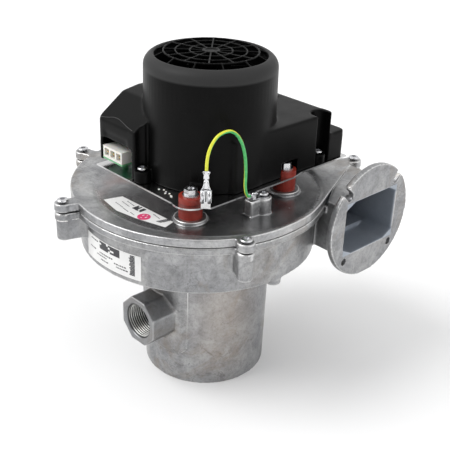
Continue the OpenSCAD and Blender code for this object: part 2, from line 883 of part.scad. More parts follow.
volute_housing();
volute_cover();
cover_gasket();
cover_screws();
mixer_cup();
cup_gasket();
cup_screws();
venturi_nozzle();
venturi_diffuser();
venturi_seals();
mounting_plate();
earth_tab();
rubber_mount(mount_list[0]);  // rubber_mount_1
rubber_mount(mount_list[1]);  // rubber_mount_2
rubber_mount(mount_list[2]);  // rubber_mount_3
mount_sleeves();
mount_bolts();
motor_cap();
cap_screws();
circuit_board();
mains_connector();
connector_pins();
signal_connector();
bulk_capacitors();
filter_choke();
heat_sink();
power_transistors();
bearing_tube();
bearing(plate_z + 3);  // lower_bearing
bearing(plate_z + 39.5);  // upper_bearing
preload_washer();
stator_core();
stator_insulators();
stator_windings();
motor_shaft();
rotor_bell();
rotor_magnet();
cooling_wheel();
impeller_backplate();
impeller_blades();
impeller_shroud();
impeller_nut();
shaft_seal();
earth_wire();
spade_terminal();
ring_terminal();
earth_screw();
cover_label();
housing_label();
round_sticker();
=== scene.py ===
import math
import random

import bmesh
import bpy
from mathutils import Matrix, Vector


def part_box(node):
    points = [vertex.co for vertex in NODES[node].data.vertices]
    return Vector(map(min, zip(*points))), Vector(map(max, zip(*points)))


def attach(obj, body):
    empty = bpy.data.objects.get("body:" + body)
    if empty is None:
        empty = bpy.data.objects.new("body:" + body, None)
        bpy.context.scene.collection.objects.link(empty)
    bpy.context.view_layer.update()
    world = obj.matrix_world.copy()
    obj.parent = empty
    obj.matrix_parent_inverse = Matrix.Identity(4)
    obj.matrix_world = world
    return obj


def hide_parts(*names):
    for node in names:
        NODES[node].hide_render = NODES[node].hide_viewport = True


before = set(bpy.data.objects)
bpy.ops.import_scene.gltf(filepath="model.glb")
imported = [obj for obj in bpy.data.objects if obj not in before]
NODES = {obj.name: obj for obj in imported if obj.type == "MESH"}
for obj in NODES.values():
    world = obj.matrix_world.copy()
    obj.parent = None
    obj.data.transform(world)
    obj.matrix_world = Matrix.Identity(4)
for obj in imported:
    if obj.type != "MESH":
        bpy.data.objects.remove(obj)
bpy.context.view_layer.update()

MM = 0.001
random.seed(7)

# Places that several pieces share: from the frame's boxes, or the same numbers as in the part's source
PLATE_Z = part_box("mounting_plate")[1].z
COVER_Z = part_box("volute_cover")[0].z + 6 * MM
DISH_Z = COVER_Z - 2 * MM
CAP_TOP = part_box("motor_cap")[1].z
PORT_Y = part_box("mixer_cup")[0].y
PORT_Z = 54.5 * MM
OUTLET_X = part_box("volute_housing")[1].x
OUTLET_Y = 81.5 * MM
OUTLET_Z = 125.7 * MM
MOUTH_HALF_WIDTH = 28.5 * MM
MOUTH_HALF_HEIGHT = 21 * MM
DRUM_RADIUS = 47 * MM
DISH_RADIUS = 84 * MM
CUP_LOW_RADIUS = 47 * MM
CUP_TOP_RADIUS = 48.5 * MM
CUP_TOP_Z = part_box("mixer_cup")[1].z
FEET = [(-11 * MM, -52.5 * MM), (42.5 * MM, 71 * MM), (-30 * MM, 92 * MM)]
SPADE = (49.3 * MM, -46.8 * MM)

# The gas port's thread: 14 threads to the inch
THREAD_PITCH = 1.814 * MM
THREAD_ROOT = 13.3 * MM
THREAD_CREST = 12.06 * MM
THREAD_LENGTH = 18 * MM

# The raised pad round the port's boss
PAD_HALF_TURN = 32.5  # degrees
PAD_LOW = 25.5 * MM
PAD_CORNER = 9 * MM
PAD_THICK = 0.8 * MM

# The earth wire
WIRE_D = 2.2 * MM
WIRE_LAY = 170 * MM  # length in which its stripe winds round once


# ---------------------------------------------------------------- camera
def add_camera():
    """A camera at the photograph's viewing angle."""
    heading, pitch, roll = math.radians(136.14), math.radians(-27.0), math.radians(2.0)
    level = Vector((math.cos(heading), math.sin(heading), 0))
    forward = math.cos(pitch) * level + Vector((0, 0, math.sin(pitch)))
    right = forward.cross(Vector((0, 0, 1))).normalized()
    up = right.cross(forward)
    across = math.cos(roll) * right + math.sin(roll) * up
    up = math.cos(roll) * up - math.sin(roll) * right
    camera = bpy.data.objects.new("camera", bpy.data.cameras.new("camera"))
    camera.data.sensor_width = 36
    camera.data.lens = 67.6
    camera.data.clip_start, camera.data.clip_end = 0.05, 20
    turn = Matrix((across, up, -forward)).transposed().to_4x4()
    camera.matrix_world = Matrix.Translation((0.4209, -0.3857, 0.4040)) @ turn
    bpy.context.scene.collection.objects.link(camera)
    bpy.context.scene.camera = camera


add_camera()


# ---------------------------------------------------------------- mesh helpers
def new_object(name, verts, faces, material=None, smooth=True):
    mesh = bpy.data.meshes.new(name)
    mesh.from_pydata([tuple(v) for v in verts], [], faces)
    mesh.validate()
    obj = bpy.data.objects.new(name, mesh)
    bpy.context.scene.collection.objects.link(obj)
    if material:
        mesh.materials.append(material)
    for p in mesh.polygons:
        p.use_smooth = smooth
    return obj


def apply_modifiers(obj):
    """Replaces obj's mesh with what its modifiers make of it."""
    graph = bpy.context.evaluated_depsgraph_get()
    graph.update()
    made = bpy.data.meshes.new_from_object(obj.evaluated_get(graph))
    obj.modifiers.clear()
    obj.data = made
    return obj


def welded_copy(name, node):
    """A copy of a CAD node's mesh, with the vertices that its faces share made one."""
    bm = bmesh.new()
    bm.from_mesh(NODES[node].data)
    bmesh.ops.remove_doubles(bm, verts=bm.verts, dist=0.002 * MM)
    bmesh.ops.recalc_face_normals(bm, faces=bm.faces)
    mesh = bpy.data.meshes.new(name)
    bm.to_mesh(mesh)
    bm.free()
    obj = bpy.data.objects.new(name, mesh)
    bpy.context.scene.collection.objects.link(obj)
    return obj


def cylinder_mesh(name, start, end, radius):
    """A closed cylinder from one point to another, for cutting with."""
    sides = 96
    start, end = Vector(start), Vector(end)
    axis = (end - start).normalized()
    side = axis.orthogonal().normalized()
    other = axis.cross(side)
    verts, faces = [], []
    for centre in (start, end):
        for k in range(sides):
            a = 2 * math.pi * k / sides
            verts.append(centre + radius * (math.cos(a) * side + math.sin(a) * other))
    for k in range(sides):
        j = (k + 1) % sides
        faces.append((k, j, sides + j, sides + k))
    faces.append(tuple(range(sides - 1, -1, -1)))
    faces.append(tuple(range(sides, 2 * sides)))
    return new_object(name, verts, faces, smooth=False)


def cut(obj, tool):
    """Takes a tool's shape out of obj, and the tool out of the scene."""
    modifier = obj.modifiers.new("cut", "BOOLEAN")
    modifier.operation, modifier.solver, modifier.object = "DIFFERENCE", "EXACT", tool
    apply_modifiers(obj)
    bpy.data.objects.remove(tool)


def soften(obj, voxel, rounds):
    """Rounds every edge of a closed mesh a little, as casting or moulding does."""
    remesh = obj.modifiers.new("remesh", "REMESH")
    remesh.mode, remesh.voxel_size, remesh.use_smooth_shade = "VOXEL", voxel, True
    smooth = obj.modifiers.new("smooth", "SMOOTH")
    smooth.factor, smooth.iterations = 0.5, rounds
    return apply_modifiers(obj)


def stand_for(obj, material, slot, body, *nodes):
    """obj takes the place of CAD nodes, with a material, on their body."""
    obj.data.materials.clear()
    obj.data.materials.append(material)
    for p in obj.data.polygons:
        p.material_index = 0
        p.use_smooth = True
    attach(obj, body)
    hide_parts(*nodes)
    return obj


def paint(material, *nodes):
    """Gives CAD nodes a material in every slot they have."""
    for n in nodes:
        data = NODES[n].data
        if not data.materials:
            data.materials.append(material)
        for i in range(len(data.materials)):
            data.materials[i] = material


# ---------------------------------------------------------------- materials
class Shader:
    """Builds a material's nodes in object coordinates, which are the frame's own metres."""

    def __init__(self, name):
        self.material = bpy.data.materials.new(name)
        self.material.use_nodes = True
        self.tree = self.material.node_tree
        self.bsdf = self.tree.nodes["Principled BSDF"]
        self.normal = None
        self.coords = self.tree.nodes.new("ShaderNodeTexCoord").outputs["Object"]

    def link(self, value, socket):
        """Feeds a socket from another one, or sets its own value; a colour has three numbers."""
        if isinstance(value, bpy.types.NodeSocket):
            self.tree.links.new(value, socket)
        elif socket.type == "RGBA":
            socket.default_value = (*value, 1)
        else:
            socket.default_value = value

    def node(self, kind, **inputs):
        made = self.tree.nodes.new(kind)
        for key, value in inputs.items():
            self.link(value, made.inputs[key.replace("_", " ")])
        return made

    def noise(self, scale, detail=4.0, rough=0.6, stretch=(1, 1, 1), distortion=0.0):
        vector = self.node("ShaderNodeMapping", Vector=self.coords, Scale=stretch).outputs["Vector"]
        made = self.node("ShaderNodeTexNoise", Vector=vector, Scale=scale, Detail=detail,
                         Roughness=rough, Distortion=distortion)
        return made.outputs["Fac"]

    def ramp(self, factor, *stops):
        """A colour ramp through (position, colour) stops."""
        made = self.node("ShaderNodeValToRGB", Fac=factor)
        elements = made.color_ramp.elements
        while len(elements) < len(stops):
            elements.new(0.5)
        for element, (position, colour) in zip(elements, stops):
            element.position = position
            element.color = (*colour, 1)
        return made.outputs["Color"]

    def mask(self, factor, low, high):
        """0 below low, 1 above high."""
        made = self.node("ShaderNodeMapRange", Value=factor, From_Min=low, From_Max=high)
        return made.outputs["Result"]

    def math(self, operation, a, b=0.0):
        made = self.tree.nodes.new("ShaderNodeMath")
        made.operation = operation
        self.link(a, made.inputs[0])
        self.link(b, made.inputs[1])
        return made.outputs["Value"]

    def times(self, first, *others):
        for other in others:
            first = self.math("MULTIPLY", first, other)
        return first

    def inverse(self, value):
        return self.math("SUBTRACT", 1.0, value)

    def spread(self, value, width, least):
        """A value that runs from 0 to 1, made to run over a width above the least."""
        return self.math("ADD", self.math("MULTIPLY", value, width), least)

    def within(self, value, middle, reach):
        """1 where a value is less than reach away from the middle."""
        return self.math("LESS_THAN", self.math("ABSOLUTE", self.math("SUBTRACT", value, middle)), reach)

    def parts(self, vector):
        """A vector's three parts."""
        return self.node("ShaderNodeSeparateXYZ", Vector=vector).outputs

    def axis(self, index):
        return self.parts(self.coords)[index]

    def distance(self, point, stretch=(1, 1, 1)):
        """Distance from a point, or from a line where stretch has a zero."""
        place = [-p * k for p, k in zip(point, stretch)]
        shift = self.node("ShaderNodeMapping", Vector=self.coords, Location=place, Scale=stretch)
        length = self.tree.nodes.new("ShaderNodeVectorMath")
        length.operation = "LENGTH"
        self.tree.links.new(shift.outputs["Vector"], length.inputs[0])
        return length.outputs["Value"]

    def mix(self, factor, a, b, blend="MIX"):
        made = self.tree.nodes.new("ShaderNodeMix")
        made.data_type, made.blend_type = "RGBA", blend
        first, second = [socket for socket in made.inputs if socket.type == "RGBA"]
        self.link(factor, made.inputs["Factor"])
        self.link(a, first)
        self.link(b, second)
        return next(socket for socket in made.outputs if socket.type == "RGBA")

    def bump(self, height, distance, strength=1.0):
        """Adds fine relief to whatever relief the material has already."""
        made = self.node("ShaderNodeBump", Height=height, Distance=distance, Strength=strength)
        if self.normal:
            self.tree.links.new(self.normal, made.inputs["Normal"])
        self.normal = made.outputs["Normal"]
        self.tree.links.new(self.normal, self.bsdf.inputs["Normal"])

    def set(self, **inputs):
        for key, value in inputs.items():
            self.link(value, self.bsdf.inputs[key.replace("_", " ")])
        return self.material


def grey(v):
    return (v, v, v)


def cast_metal(name, warm, light):
    """Die-cast aluminium: mottled, speckled, stained in places, brightened on its edges by wear and
    painted highlight, darkened in its recesses with painted shade.
    """
    s = Shader(name)
    cloud = s.ramp(s.noise(75, 7, 0.68, distortion=0.8),
                   (0.3, grey(0.38 * light)), (0.5, grey(0.55 * light)), (0.72, grey(0.72 * light)))
    tide = s.ramp(s.noise(16, 4, 0.6, distortion=1.4), (0.35, (0.62, 0.63, 0.66)), (0.62, grey(1.0)))
    colour = s.mix(0.8, cloud, tide, "MULTIPLY")
    # thin dark flow marks where the metal met in the die
    flow = s.math("ABSOLUTE", s.math("SUBTRACT", s.noise(34, 5, 0.6, distortion=0.9), 0.5))
    flow = s.times(s.inverse(s.mask(flow, 0.0, 0.014)), s.mask(s.noise(19, 2, 0.5), 0.5, 0.6), 0.55)
    colour = s.mix(flow, colour, (0.12, 0.12, 0.125))
    grain = s.ramp(s.noise(520, 6, 0.72), (0.34, grey(0.6)), (0.52, grey(1.0)))
    colour = s.mix(0.6, colour, grain, "MULTIPLY")
    specks = s.mask(s.noise(1300, 3, 0.7), 0.64, 0.7)
    colour = s.mix(s.times(specks, 0.6), colour, (0.07, 0.065, 0.06))
    stain = s.times(s.mask(s.noise(22, 5, 0.7, distortion=1.0), 0.53, 0.68), 0.4 + warm)
    colour = s.mix(stain, colour, (0.24, 0.19, 0.14))
    # painted highlight and wear: convex edges, found by pointiness, are brightened
    edge = s.tree.nodes.new("ShaderNodeNewGeometry").outputs["Pointiness"]
    colour = s.mix(s.mask(edge, 0.52, 0.57), colour, (0.86, 0.86, 0.85))
    # painted shade: concave places, found by pointiness, are darkened
    hollow_shade = s.inverse(s.mask(edge, 0.43, 0.485))
    colour = s.mix(s.times(hollow_shade, 0.8), colour, grey(0.1))
    rough = s.spread(s.noise(240, 4, 0.6), 0.3, 0.2)
    s.bump(s.noise(70, 5, 0.6), 0.0006, 0.35)
    s.bump(s.noise(750, 5, 0.7), 0.00018, 0.7)
    return s, colour, rough


def make_cup_metal():
    """The cup's casting, with a brown tint beside the port and painted shade darkening the boss round the
    port.
    """
    s, colour, rough = cast_metal("cast_cup", 0.15, 0.76)
    # painted shade: the boss that stands out from the wall is darkened
    boss = s.inverse(s.mask(s.axis(1), -50 * MM, -47 * MM))
    colour = s.mix(s.times(boss, 0.55), colour, (0.2, 0.205, 0.215))
    beside_port = s.distance((44 * MM, -18 * MM, 60 * MM), (1, 1, 0.5))
    tint = s.inverse(s.mask(beside_port, 8 * MM, 34 * MM))
    colour = s.mix(s.times(tint, 0.3), colour, (0.42, 0.34, 0.27))
    return s.set(Base_Color=colour, Roughness=rough, Metallic=0.92)


def make_housing_metal():
    """The housing's casting: paler on the machined flange face, blue-grey and dull in the duct."""
    s, colour, rough = cast_metal("cast_housing", 0.0, 0.72)
    face = s.mask(s.axis(0), OUTLET_X - 0.35 * MM, OUTLET_X - 0.1 * MM)
    pale = s.ramp(s.noise(420, 6, 0.7), (0.33, grey(0.42)), (0.6, grey(0.66)))
    colour = s.mix(s.times(face, 0.8), colour, pale)
    beyond = s.mask(s.axis(0), 42 * MM, 50 * MM)
    narrow = s.within(s.axis(1), OUTLET_Y, MOUTH_HALF_WIDTH + 0.4 * MM)
    low = s.within(s.axis(2), OUTLET_Z, MOUTH_HALF_HEIGHT + 0.4 * MM)
    inside = s.times(narrow, low, beyond, s.inverse(face))
    colour = s.mix(s.times(inside, 0.7), colour, (0.36, 0.41, 0.48))
    metal = s.math("SUBTRACT", 0.92, s.times(inside, 0.45))
    # a pale line, broken into chips, along the front of the rim's lower edge
    line = s.within(s.axis(2), COVER_Z - 12.2 * MM, 0.55 * MM)
    front = s.math("LESS_THAN", s.axis(1), -62 * MM)
    chips = s.times(line, s.mask(s.noise(380, 3, 0.6), 0.5, 0.53), front)
    colour = s.mix(chips, colour, (0.93, 0.92, 0.90))
    metal = s.times(metal, s.inverse(chips))
    return s.set(Base_Color=colour, Roughness=rough, Metallic=metal)


def make_cover_metal():
    """The cover's casting, with painted shade darkening the floor of its round dish, which is also
    shinier.
    """
    s, colour, rough = cast_metal("cast_cover", 0.05, 0.84)
    floor = s.inverse(s.mask(s.axis(2), DISH_Z + 0.3 * MM, DISH_Z + 1.6 * MM))
    around = s.distance((0, 0, 0), (1, 1, 0))
    dish = s.times(floor, s.inverse(s.mask(around, DISH_RADIUS - 4 * MM, DISH_RADIUS + 0.5 * MM)))
    # painted shade: the whole dish floor is darkened, with reddish patches mixed in
    dish_shade = s.ramp(s.noise(55, 6, 0.7, distortion=1.2),
                  (0.35, (0.16, 0.16, 0.165)), (0.6, (0.30, 0.30, 0.305)))
    dish_shade = s.mix(s.mask(s.noise(14, 3, 0.5), 0.58, 0.66), dish_shade, (0.22, 0.15, 0.14))
    colour = s.mix(s.times(dish, 0.85), colour, dish_shade)
    rough = s.math("SUBTRACT", rough, s.times(dish, 0.14))
    return s.set(Base_Color=colour, Roughness=rough, Metallic=0.9)


def make_black_plastic():
    """Black moulded plastic, scuffed, with a painted highlight greying the step round the cap's grille."""
    s = Shader("black_plastic")
    tone = s.ramp(s.noise(35, 5, 0.6), (0.35, grey(0.0012)), (0.7, grey(0.003)))
    scuff = s.mask(s.noise(60, 6, 0.8, stretch=(1, 1, 7)), 0.66, 0.74)
    colour = s.mix(s.times(scuff, 0.16), tone, grey(0.06))
    around = s.distance((0, 0, 0), (1, 1, 0))
    # painted highlight: the step round the grille is greyed, and made a little rougher
    high = s.mask(s.axis(2), CAP_TOP - 12.5 * MM, CAP_TOP - 11 * MM)
    outer = s.inverse(s.mask(around, DRUM_RADIUS + 0.5 * MM, DRUM_RADIUS + 2 * MM))
    inner = s.mask(around, DRUM_RADIUS - 8 * MM, DRUM_RADIUS - 6.5 * MM)
    shoulder_highlight = s.times(high, outer, inner)
    colour = s.mix(s.times(shoulder_highlight, 0.6), colour, grey(0.06))
    rough = s.spread(s.noise(90, 5, 0.6), 0.16, 0.3)
    rough = s.math("ADD", rough, s.times(shoulder_highlight, 0.1))
    s.bump(s.noise(2600, 2, 0.5), 0.00003, 0.5)
    return s.set(Base_Color=colour, Roughness=rough, Specular_IOR_Level=0.1)


def make_thread():
    """Bright cut crests over roots darkened with painted shade, by the distance from the port's axis."""
    s = Shader("cut_thread")
    # painted shade: the thread's roots, furthest from the axis, are darkened
    depth = s.mask(s.distance((0, 0, PORT_Z), (1, 0, 1)), 12.2 * MM, 13.1 * MM)
    colour = s.ramp(depth, (0.15, (0.78, 0.78, 0.76)), (0.75, (0.07, 0.07, 0.07)))
    rough = s.spread(s.noise(300, 3, 0.6), 0.12, 0.3)
    return s.set(Base_Color=colour, Roughness=rough, Metallic=0.8)


def make_plated(name, tone, least_rough):
    """Plated or ground metal, slightly clouded."""
    s = Shader(name)
    dark = (tone * 0.8, tone * 0.81, tone * 0.84)
    light = (tone, tone, tone * 1.01)
    colour = s.ramp(s.noise(260, 4, 0.6), (0.3, dark), (0.7, light))
    rough = s.spread(s.noise(500, 3, 0.6), 0.22, least_rough)
    s.bump(s.noise(900, 3, 0.6), 0.00004, 0.5)
    return s.set(Base_Color=colour, Roughness=rough, Metallic=1.0)


def make_sheet_metal():
    """Bright rolled sheet with a faint grain along one way."""
    s = Shader("bright_sheet")
    grain = s.noise(900, 4, 0.6, stretch=(1, 0.04, 1))
    colour = s.ramp(grain, (0.3, grey(0.55)), (0.7, grey(0.7)))
    rough = s.spread(s.noise(45, 5, 0.6), 0.16, 0.1)
    s.bump(grain, 0.00001, 0.4)
    return s.set(Base_Color=colour, Roughness=rough, Metallic=1.0)


def make_machined(name, tone):
    """Turned metal, with fine rings round the rotor axis."""
    s = Shader(name)
    rings_per_metre = 2600
    place = s.tree.nodes.new("ShaderNodeCombineXYZ")
    s.link(s.times(s.distance((0, 0, 0), (1, 1, 0)), rings_per_metre), place.inputs[0])
    s.link(s.times(s.axis(2), rings_per_metre), place.inputs[1])
    rings = s.node("ShaderNodeTexNoise", Vector=place.outputs[0], Scale=1.0, Detail=3.0).outputs["Fac"]
    colour = s.ramp(rings, (0.3, grey(tone * 0.8)), (0.7, grey(tone)))
    s.bump(rings, 0.00002, 0.4)
    rough = s.spread(s.noise(200, 3, 0.6), 0.15, 0.22)
    return s.set(Base_Color=colour, Roughness=rough, Metallic=1.0)


def make_rubber(name, dark, light, least_rough):
    """A dull even material, slightly mottled, with a little dust."""
    s = Shader(name)
    colour = s.ramp(s.noise(130, 5, 0.65), (0.3, dark), (0.7, light))
    dust = s.mask(s.noise(500, 4, 0.7), 0.62, 0.75)
    colour = s.mix(s.times(dust, 0.12), colour, (0.7, 0.5, 0.45))
    s.bump(s.noise(900, 3, 0.6), 0.00004, 0.5)
    rough = s.spread(s.noise(160, 3, 0.6), 0.15, least_rough)
    return s.set(Base_Color=colour, Roughness=rough)


def make_nylon():
    """Undyed nylon, slightly translucent."""
    s = Shader("natural_nylon")
    colour = s.ramp(s.noise(160, 4, 0.6), (0.3, (0.84, 0.82, 0.75)), (0.7, (0.93, 0.92, 0.87)))
    s.bump(s.noise(700, 3, 0.6), 0.00003, 0.5)
    rough = s.spread(s.noise(300, 3, 0.6), 0.15, 0.33)
    return s.set(Base_Color=colour, Roughness=rough, Subsurface_Weight=0.08, Subsurface_Scale=0.002)


def make_board():
    """Green solder mask over copper tracks, and the pale glass fibre of the board's edge."""
    s = Shader("green_board")
    lacquer = s.ramp(s.noise(120, 4, 0.6), (0.3, (0.01, 0.16, 0.08)), (0.7, (0.015, 0.24, 0.12)))
    tracks = s.node("ShaderNodeTexBrick", Vector=s.coords, Scale=180.0, Mortar_Size=0.06,
                    Color1=grey(0), Color2=grey(0), Mortar=grey(1)).outputs["Color"]
    colour = s.mix(s.times(tracks, 0.5), lacquer, (0.05, 0.33, 0.13))
    normal = s.tree.nodes.new("ShaderNodeNewGeometry").outputs["Normal"]
    side = s.within(s.parts(normal)[2], 0.0, 0.5)
    fibre = s.ramp(s.noise(900, 2, 0.5, stretch=(0.1, 0.1, 3)),
                   (0.3, (0.08, 0.38, 0.16)), (0.7, (0.22, 0.58, 0.28)))
    colour = s.mix(side, colour, fibre)
    s.bump(tracks, 0.00003, 0.5)
    rough = s.spread(s.noise(200, 3, 0.6), 0.2, 0.25)
    return s.set(Base_Color=colour, Roughness=rough, Coat_Weight=0.3)


def make_label(name, tint):
    """Printed film or paper, slightly uneven."""
    s = Shader(name)
    shade = tuple(c * 0.92 for c in tint)
    colour = s.ramp(s.noise(90, 5, 0.6), (0.3, shade), (0.7, tint))
    s.bump(s.noise(60, 4, 0.6), 0.00012, 0.5)
    rough = s.spread(s.noise(300, 3, 0.6), 0.15, 0.35)
    return s.set(Base_Color=colour, Roughness=rough)


def make_layers(name, scale, distortion, detail, stops, relief, rough, metal):
    """Layers stacked along Z, such as wire wound turn beside turn, or stacked sheet."""
    s = Shader(name)
    wave = s.node("ShaderNodeTexWave", Vector=s.coords, Scale=scale, Distortion=distortion, Detail=detail)
    wave.bands_direction = "Z"
    colour = s.ramp(wave.outputs["Fac"], *stops)
    s.bump(wave.outputs["Fac"], relief, 0.7)
    width, least = rough
    return s.set(Base_Color=colour, Roughness=s.spread(s.noise(300, 3, 0.6), width, least), Metallic=metal)


def make_wire():
    """Earth insulation: green, with a yellow stripe wound round it."""
    s = Shader("earth_insulation")
    around, along, _ = s.parts(s.tree.nodes.new("ShaderNodeTexCoord").outputs["UV"])
    turn = s.math("FRACT", s.math("ADD", around, s.times(along, 1 / WIRE_LAY)))
    stripe = s.math("GREATER_THAN", turn, 0.5)
    green = s.ramp(s.noise(300, 3, 0.6), (0.3, (0.05, 0.42, 0.10)), (0.7, (0.10, 0.58, 0.17)))
    yellow = s.ramp(s.noise(300, 3, 0.6), (0.3, (0.70, 0.72, 0.03)), (0.7, (0.84, 0.84, 0.07)))
    colour = s.mix(stripe, green, yellow)
    s.bump(s.noise(1200, 3, 0.6), 0.00003, 0.5)
    rough = s.spread(s.noise(300, 3, 0.6), 0.12, 0.25)
    return s.set(Base_Color=colour, Roughness=rough)


def make_brass():
    s = Shader("brass")
    colour = s.ramp(s.noise(300, 4, 0.6), (0.3, (0.5, 0.33, 0.1)), (0.7, (0.68, 0.49, 0.2)))
    rough = s.spread(s.noise(500, 3, 0.6), 0.15, 0.2)
    return s.set(Base_Color=colour, Roughness=rough, Metallic=1.0)


CAST = make_housing_metal()
CAST_CUP = make_cup_metal()
CAST_COVER = make_cover_metal()
PLASTIC = make_black_plastic()
ZINC = make_plated("zinc", 0.72, 0.18)
TINNED = make_plated("tinned", 0.8, 0.12)
STEEL = make_plated("ground_steel", 0.6, 0.1)
SHEET = make_sheet_metal()
MACHINED = make_machined("machined_aluminium", 0.72)
RED = make_rubber("red_silicone", (0.22, 0.016, 0.008), (0.36, 0.032, 0.016), 0.38)
BLACK_RUBBER = make_rubber("black_rubber", grey(0.01), grey(0.022), 0.5)
FERRITE = make_rubber("ferrite", grey(0.02), grey(0.045), 0.45)
FIBRE = make_rubber("gasket_fibre", grey(0.11), grey(0.2), 0.6)
NYLON = make_nylon()
BOARD = make_board()
LABEL = make_label("label_film", (0.84, 0.84, 0.83))
THREAD_METAL = make_thread()
PINK = make_label("pink_print", (0.70, 0.05, 0.17))
WHITE_PRINT = make_label("white_print", (0.86, 0.84, 0.84))
DARK_PRINT = make_label("grey_print", (0.035, 0.035, 0.04))
COPPER = make_layers("enamelled_copper", 1400 / 6, 0.6, 2.0,
                     ((0.15, (0.16, 0.05, 0.015)), (0.7, (0.5, 0.2, 0.07))), 0.0002, (0.15, 0.25), 0.4)
SLEEVE = make_rubber("capacitor_sleeve", (0.008, 0.008, 0.02), (0.015, 0.015, 0.04), 0.3)
LAMINATIONS = make_layers("laminations", 300.0, 0.1, 1.0, ((0.2, grey(0.12)), (0.7, grey(0.32))),
                          0.00008, (0.2, 0.3), 0.9)
WIRE = make_wire()
BRASS = make_brass()

paint(ZINC, "cover_screws", "cup_screws", "mount_bolts", "mount_sleeves", "cap_screws", "earth_screw")
paint(MACHINED, "venturi_nozzle", "venturi_diffuser", "bearing_tube", "heat_sink")
paint(MACHINED, "impeller_backplate", "impeller_blades", "impeller_shroud")
paint(BLACK_RUBBER, "venturi_seals", "shaft_seal")
paint(SHEET, "mounting_plate", "earth_tab")
paint(RED, "rubber_mount_1", "rubber_mount_2", "rubber_mount_3")
paint(PLASTIC, "motor_cap", "cooling_wheel", "power_transistors")
paint(BOARD, "circuit_board")
paint(NYLON, "mains_connector", "signal_connector", "stator_insulators")
paint(BRASS, "connector_pins")
paint(SLEEVE, "bulk_capacitors")
paint(COPPER, "filter_choke", "stator_windings")
paint(STEEL, "lower_bearing", "upper_bearing", "preload_washer", "motor_shaft", "impeller_nut")
paint(LAMINATIONS, "stator_core", "rotor_bell")
paint(FERRITE, "rotor_magnet")
paint(FIBRE, "cover_gasket", "cup_gasket")
paint(TINNED, "spade_terminal", "ring_terminal")
paint(LABEL, "cover_label", "housing_label")
paint(PINK, "round_sticker")
paint(CAST, "volute_housing")
paint(CAST_COVER, "volute_cover")
paint(CAST_CUP, "mixer_cup")


# ---------------------------------------------------------------- earth wire
# The route's points, from the spade terminal to the ring terminal, in millimetres as in the part's source
WIRE_ROUTE = [
    (49.3, -46.8, 185.2), (49.3, -46.8, 190), (49.4, -46.4, 195), (49.7, -45.3, 200), (50.3, -43, 205),
    (51, -39.5, 209), (52, -35, 211), (53, -30, 211), (54, -25.5, 208), (54.6, -22, 203),
    (55.1, -19.6, 197), (55.6, -18.2, 190), (56.1, -17.8, 183), (56.6, -18.1, 176), (57.1, -18.5, 170),
    (57.4, -17.6, 165), (57.2, -15.6, 162.4), (56.95, -13.9, 161.5), (56.8, -13.03, 161.15)]


def smooth_line(points, steps):
    """Points on a Catmull-Rom curve through the given ones."""
    ends = [2 * points[0] - points[1], *points, 2 * points[-1] - points[-2]]
    line = []
    for a, b, c, d in zip(ends, ends[1:], ends[2:], ends[3:]):
        for i in range(steps):
            t = i / steps
            square, cube = 2 * a - 5 * b + 4 * c - d, 3 * b - a - 3 * c + d
            line.append(0.5 * (2 * b + (c - a) * t + square * t ** 2 + cube * t ** 3))
    return line + [points[-1]]


def tube(name, line, radius, material, sides=20):
    """A closed tube along a line, with U round it and V in metres along it."""
    along = [0.0]
    for a, b in zip(line, line[1:]):
        along.append(along[-1] + (b - a).length)
    side, verts, faces = None, [], []
    for i, p in enumerate(line):
        d = (line[min(i + 1, len(line) - 1)] - line[max(i - 1, 0)]).normalized()
        side = (d.orthogonal() if side is None else side - side.dot(d) * d).normalized()
        other = d.cross(side)
        for k in range(sides):
            a = 2 * math.pi * k / sides
            verts.append(p + radius * (math.cos(a) * side + math.sin(a) * other))
    for i in range(len(line) - 1):
        for k in range(sides):
            j = (k + 1) % sides
            faces.append((i * sides + k, i * sides + j, (i + 1) * sides + j, (i + 1) * sides + k))
    faces.append(tuple(range(sides - 1, -1, -1)))
    faces.append(tuple((len(line) - 1) * sides + k for k in range(sides)))
    obj = new_object(name, verts, faces, material)
    layer = obj.data.uv_layers.new(name="UVMap")
    for p in obj.data.polygons:
        wraps = max(v % sides for v in p.vertices) - min(v % sides for v in p.vertices) > 1
        for loop, v in zip(p.loop_indices, p.vertices):
            turn = v % sides
            layer.data[loop].uv = ((sides if wraps and turn == 0 else turn) / sides, along[v // sides])
    return obj


def add_earth_wire():
    line = smooth_line([Vector(p) * MM for p in WIRE_ROUTE], 6)
    obj = tube("earth_wire_insulation", line, WIRE_D / 2, WIRE)
    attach(obj, "housing")
    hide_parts("earth_wire")


add_earth_wire()


# ---------------------------------------------------------------- castings and cap
def weigh(obj, name, weight):
    """A vertex group whose weights come from a function of a vertex's place."""
    group = obj.vertex_groups.new(name=name)
    for v in obj.data.vertices:
        w = weight(v.co)
        if w > 0:
            group.add([v.index], w, "REPLACE")


def rim_radius(turn):
    """Radius of the scroll's rim after some degrees of clockwise turn from +X."""
    return (86.5 + 0.112 * max(turn, 0)) * MM


def rim_inset(co):
    """How far a point lies inside the scroll's round rim."""
    turn = -math.degrees(math.atan2(co.y, co.x))
    if turn < -40:
        turn += 360
    return rim_radius(turn) - math.hypot(co.x, co.y)


def dish_side(co):
    """1 on the side of the cover's dish, and 0 elsewhere."""
    height = DISH_Z - 0.5 * MM < co.z < COVER_Z + 0.1 * MM
    radius = DISH_RADIUS - 6 * MM < math.hypot(co.x, co.y) < DISH_RADIUS + 4 * MM
    return 1.0 if height and radius and rim_inset(co) > 2.2 * MM else 0.0


